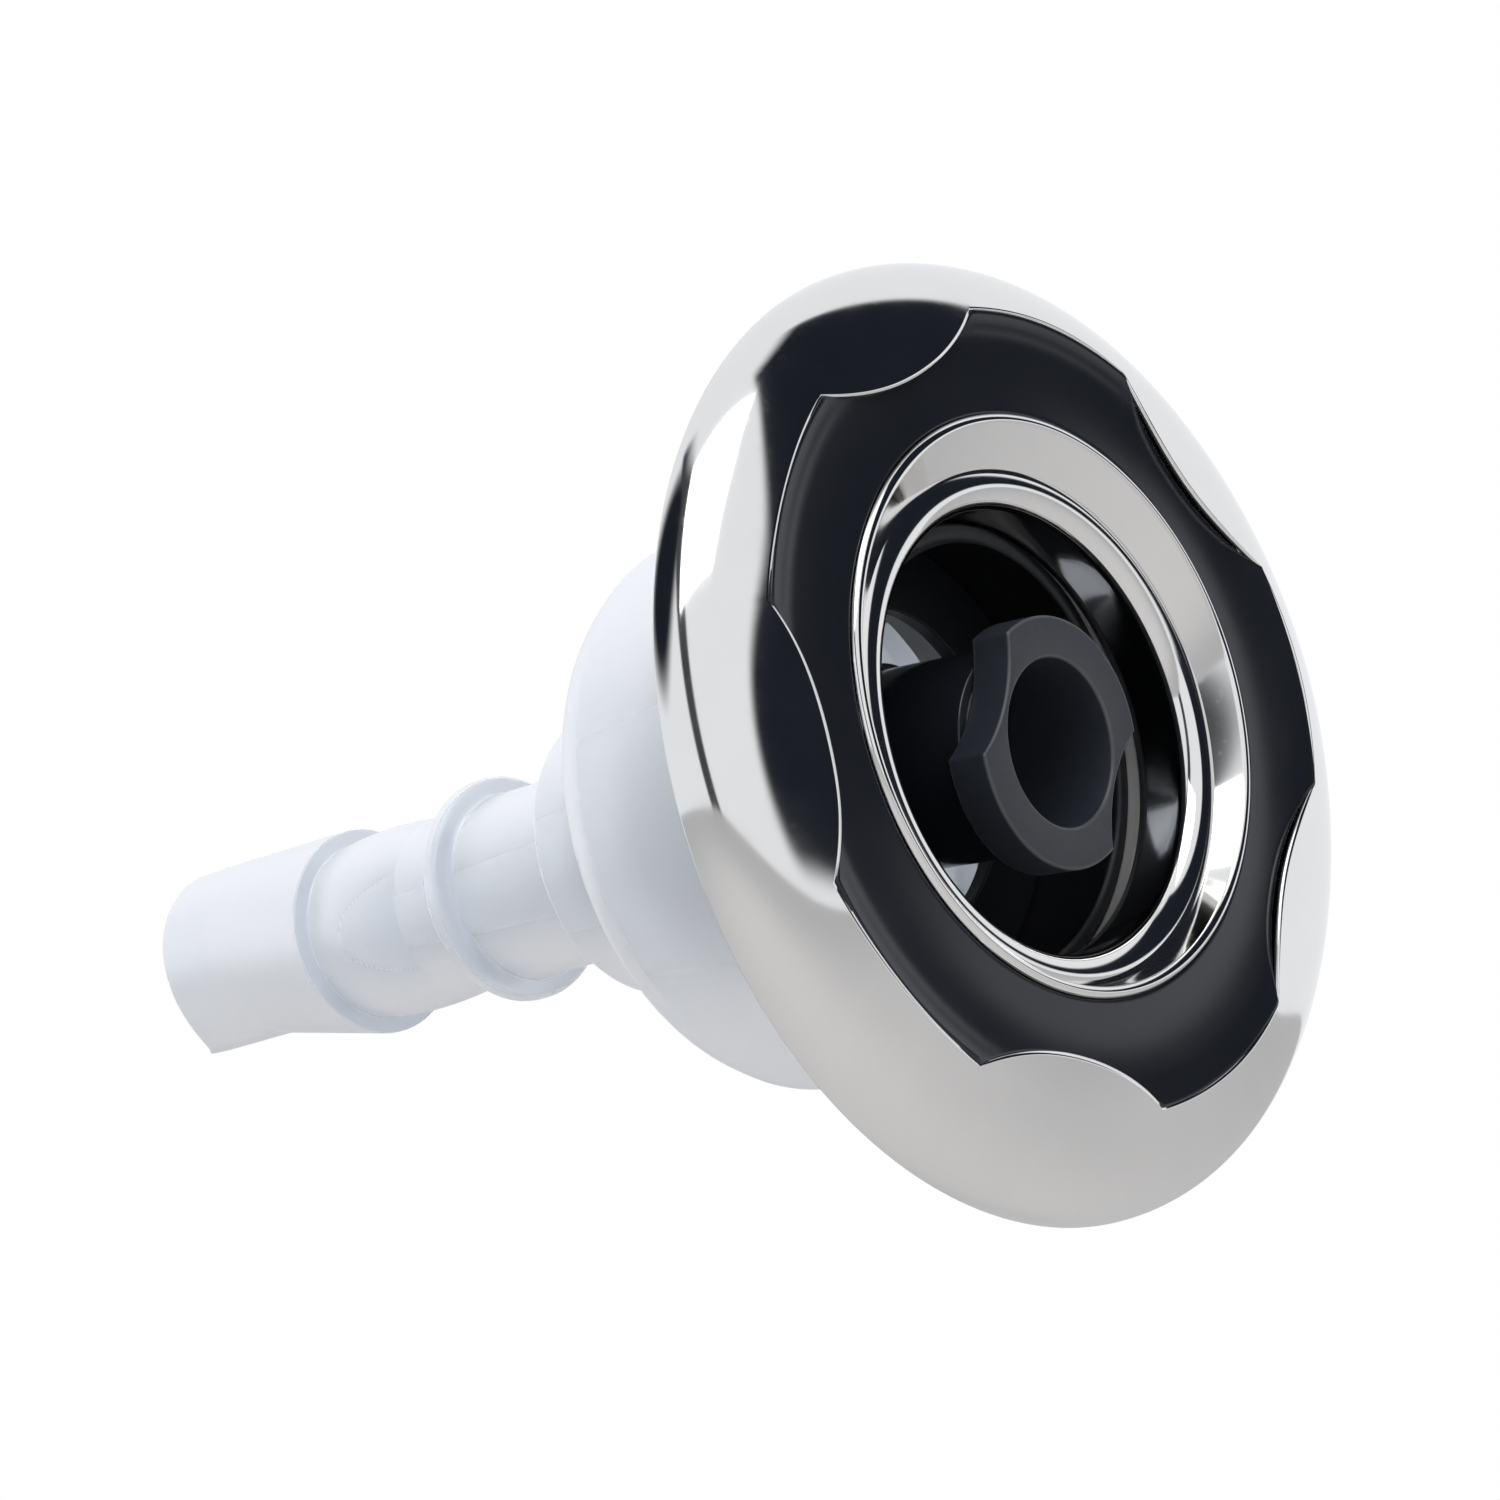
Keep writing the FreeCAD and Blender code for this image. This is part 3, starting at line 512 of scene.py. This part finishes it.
def feed(tree, shader, **values):
    """Set or link the shader's inputs by name, with underscores for blanks."""
    for name, value in values.items():
        socket = shader.inputs[name.replace("_", " ")]
        if isinstance(value, Socket):
            tree.links.new(value.link, socket)
        else:
            socket.default_value = value


def noise(tree, place, scale, detail=3.0, roughness=0.5):
    return node(tree, "ShaderNodeTexNoise", None,
                {"Vector": place, "Scale": scale, "Detail": detail, "Roughness": roughness})


def blend_colour(tree, share, first, second):
    """One colour fading to another by a share."""
    mix = tree.nodes.new("ShaderNodeMix")
    mix.data_type = "RGBA"
    if isinstance(share, Socket):
        tree.links.new(share.link, mix.inputs[0])
    else:
        mix.inputs[0].default_value = share
    for index, colour in ((6, first), (7, second)):
        if isinstance(colour, Socket):
            tree.links.new(colour.link, mix.inputs[index])
        else:
            mix.inputs[index].default_value = (*colour, 1)
    return Socket(tree, mix.outputs[2])


def bump(tree, height, strength, distance):
    return node(tree, "ShaderNodeBump", None, {"Height": height, "Strength": strength, "Distance": distance})


def polished_steel():
    """Mirror steel with a faint haze, hairline scratches and slow ripples from the press."""
    material, tree, shader, place = new_material("polished_steel")
    ripple = noise(tree, place, 26.0, 2.0)
    haze = noise(tree, place, 190.0, 4.0)
    stretched = node(tree, "ShaderNodeMapping", None,
                     {"Vector": place, "Rotation": (0.2, 0.6, 0.3), "Scale": (900.0, 60.0, 900.0)})
    hairline = noise(tree, stretched, 1.0, 2.0) > 0.66
    colour = blend_colour(tree, haze * 0.5, (0.80, 0.79, 0.77), (0.73, 0.72, 0.70))
    feed(tree, shader, Base_Color=colour, Metallic=1.0, Roughness=haze * 0.06 + 0.05 + hairline * 0.02,
         Normal=bump(tree, ripple + haze * 0.02, 0.05, 0.0006))
    return material


def black_gloss():
    """Deep blue-black moulding, glossy, with a few specks of dust."""
    material, tree, shader, place = new_material("black_gloss")
    cloud = noise(tree, place, 60.0, 3.0)
    cells = node(tree, "ShaderNodeTexVoronoi", {"feature": "F1"}, {"Vector": place, "Scale": 240.0}, "Distance")
    pick = noise(tree, place, 75.0, 1.0) > 0.64
    speck = (0.035 - cells > 0.0) * pick
    colour = blend_colour(tree, speck * 0.6, (0.0105, 0.0125, 0.0170), (0.25, 0.26, 0.27))
    feed(tree, shader, Base_Color=colour, Roughness=cloud * 0.10 + 0.12 + speck * 0.3,
         Normal=bump(tree, cloud, 0.05, 0.0004))
    shader.inputs["Specular IOR Level"].default_value = 0.45
    return material


def black_satin():
    """The ball's duller black moulding."""
    material, tree, shader, place = new_material("black_satin")
    cloud = noise(tree, place, 70.0, 3.0)
    colour = blend_colour(tree, cloud, (0.009, 0.010, 0.013), (0.013, 0.015, 0.019))
    feed(tree, shader, Base_Color=colour, Roughness=cloud * 0.10 + 0.34)
    shader.inputs["Specular IOR Level"].default_value = 0.3
    return material


def grey_satin():
    """Dark slate moulding with a fine satin grain, its colour painted paler in patches along the edges."""
    material, tree, shader, place = new_material("grey_satin")
    grain = noise(tree, place, 900.0, 3.0)
    cloud = noise(tree, place, 110.0, 3.0)
    edge_paleness = node(tree, "ShaderNodeAttribute", {"attribute_name": "edge_wear"}, None, "Fac")
    # Paler grey painted along the edges, patchy with the cloud noise.
    edge = edge_paleness * (cloud * 1.2 + 0.1)
    colour = blend_colour(tree, edge * 0.55, (0.017, 0.021, 0.029), (0.15, 0.15, 0.15))
    feed(tree, shader, Base_Color=colour, Roughness=0.36 + grain * 0.14 + cloud * 0.06,
         Normal=bump(tree, grain, 0.12, 0.0002))
    return material


def milky():
    """Frosted, bluish white moulding that lets some light through."""
    material, tree, shader, place = new_material("milky")
    cloud = noise(tree, place, 45.0, 3.0)
    colour = blend_colour(tree, cloud, (0.83, 0.87, 0.93), (0.90, 0.93, 0.96))
    feed(tree, shader, Base_Color=colour, Roughness=0.34 + cloud * 0.12)
    shader.inputs["Transmission Weight"].default_value = 0.6
    shader.inputs["IOR"].default_value = 1.3
    return material


def white_acetal():
    """Dense white moulding for the rings that touch the ball."""
    material, tree, shader, place = new_material("white_acetal")
    cloud = noise(tree, place, 80.0, 3.0)
    colour = blend_colour(tree, cloud, (0.76, 0.76, 0.74), (0.84, 0.84, 0.82))
    feed(tree, shader, Base_Color=colour, Roughness=0.3 + cloud * 0.1)
    return material


def dress(piece, material):
    piece.data.materials.clear()
    piece.data.materials.append(material)


def build_jet():
    """Every piece of the jet in its finish."""
    steel, black, satin = polished_steel(), black_gloss(), black_satin()
    grey, milk, acetal = grey_satin(), milky(), white_acetal()
    for piece in (steel_face(), mouth_ring()):
        dress(piece, steel)
    cup = ball_cup()
    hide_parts("eyeball")
    for piece in (black_front(), black_back(), hub_tube()):
        dress(piece, black)
    for piece in [cup, *ball_web()]:
        dress(piece, satin)
    dress(nozzle_insert(), grey)
    for piece in (milky_bowl(), milky_barrel()):
        dress(piece, milk)
    for name in ("keeper_ring", "seat_ring"):
        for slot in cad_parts[name].material_slots:
            slot.material = acetal


# Studio

CAMERA_PLACE = (-0.3959, -0.3232, -0.0766)
CAMERA_RIGHT = Vector((0.691, -0.704, -0.163))
CAMERA_FORWARD = Vector((0.7225, 0.673, 0.156))
CAMERA_LENS = 96.0
FLOOR_HEIGHT = -0.34


def camera():
    """The photograph's view: from the left and a little below the jet's axis."""
    data = bpy.data.cameras.new("camera")
    data.sensor_width, data.lens = 36.0, CAMERA_LENS
    data.clip_start, data.clip_end = 0.01, 50.0
    view = bpy.data.objects.new("camera", data)
    bpy.context.collection.objects.link(view)
    forward = CAMERA_FORWARD.normalized()
    right = (CAMERA_RIGHT - forward * CAMERA_RIGHT.dot(forward)).normalized()
    up = right.cross(forward)
    turn = Matrix((right, up, -forward)).transposed()
    view.matrix_world = Matrix.Translation(CAMERA_PLACE) @ turn.to_4x4()
    bpy.context.scene.camera = view


def fade(tree, value, low, high):
    """0 below a low value, 1 above a high one, and a smooth rise between."""
    return node(tree, "ShaderNodeMapRange", {"interpolation_type": "SMOOTHSTEP"},
                {"Value": value, "From Min": low, "From Max": high})


def studio_world():
    """White behind the jet for the camera; round it a pale studio with three dark things to reflect.

    They are a flag in front on the right, a flag high on the left, and the slanting stand of the camera.
    """
    world = bpy.data.worlds.new("studio")
    bpy.context.scene.world = world
    world.use_nodes = True
    tree = world.node_tree
    background = tree.nodes["Background"]
    place = node(tree, "ShaderNodeTexCoord", output="Generated")
    parts = tree.nodes.new("ShaderNodeSeparateXYZ")
    tree.links.new(place.link, parts.inputs[0])
    x, y, z = (Socket(tree, parts.outputs[i]) for i in range(3))

    flat_length = (1.0 - z * z).math("MAXIMUM", 0.001).math("SQRT")
    facing = (x * 0.545 - y * 0.839).math("DIVIDE", flat_length)
    front = (fade(tree, facing, 0.885, 0.92) * fade(tree, z - x * 0.2, -0.11, -0.04)
             * (1.0 - fade(tree, z, 0.93, 0.98)))
    left = fade(tree, z * 0.66 - x * 0.70 + y * 0.27, 0.87, 0.96)
    stand = ((1.0 - fade(tree, (x * 0.624 - y * 0.66 + z * 0.42).math("ABSOLUTE"), 0.08, 0.12))
             * fade(tree, 0.0 - x, 0.2, 0.3) * fade(tree, z, -0.35, -0.20)
             * (1.0 - fade(tree, z, 0.88, 0.95)) * 0.95)
    dark = front.math("MAXIMUM", left).math("MAXIMUM", stand)
    pale = blend_colour(tree, fade(tree, z, -0.6, -0.1), (0.71, 0.69, 0.68), (0.94, 0.96, 1.0))
    shade = blend_colour(tree, dark, pale, (0.012, 0.015, 0.022))
    rays = node(tree, "ShaderNodeLightPath", output="Is Camera Ray")
    final = blend_colour(tree, rays, shade, (1.0, 1.0, 1.0))
    tree.links.new(final.link, background.inputs["Color"])
    background.inputs["Strength"].default_value = 1.0


def lamp(name, place, target, size, power):
    data = bpy.data.lights.new(name, "AREA")
    data.shape, data.size, data.size_y, data.energy = "RECTANGLE", size[0], size[1], power
    light = bpy.data.objects.new(name, data)
    bpy.context.collection.objects.link(light)
    light.location = place
    light.rotation_euler = (Vector(target) - Vector(place)).to_track_quat("-Z", "Y").to_euler()


def floor():
    """A pale floor well below the jet."""
    mesh = bpy.data.meshes.new("floor")
    half = 3.0
    square = [(-half, -half), (half, -half), (half, half), (-half, half)]
    mesh.from_pydata([(x, y, FLOOR_HEIGHT) for x, y in square], [], [(0, 1, 2, 3)])
    piece = bpy.data.objects.new("floor", mesh)
    bpy.context.collection.objects.link(piece)
    material, tree, shader, place = new_material("floor_paper")
    colour = blend_colour(tree, noise(tree, place, 3.0), (0.73, 0.715, 0.705), (0.75, 0.735, 0.725))
    feed(tree, shader, Base_Color=colour, Roughness=0.9)
    rays = node(tree, "ShaderNodeLightPath", output="Is Camera Ray")
    white = tree.nodes.new("ShaderNodeEmission")
    mix = tree.nodes.new("ShaderNodeMixShader")
    tree.links.new((rays * 0.85).link, mix.inputs[0])
    tree.links.new(shader.outputs[0], mix.inputs[1])
    tree.links.new(white.outputs[0], mix.inputs[2])
    tree.links.new(mix.outputs[0], tree.nodes["Material Output"].inputs[0])
    mesh.materials.append(material)


build_jet()
camera()
studio_world()
floor()
lamp("key", (-0.5, -0.5, 0.9), (0, 0, 0), (0.8, 0.8), 6.0)
bpy.context.scene.view_settings.view_transform = "Standard"
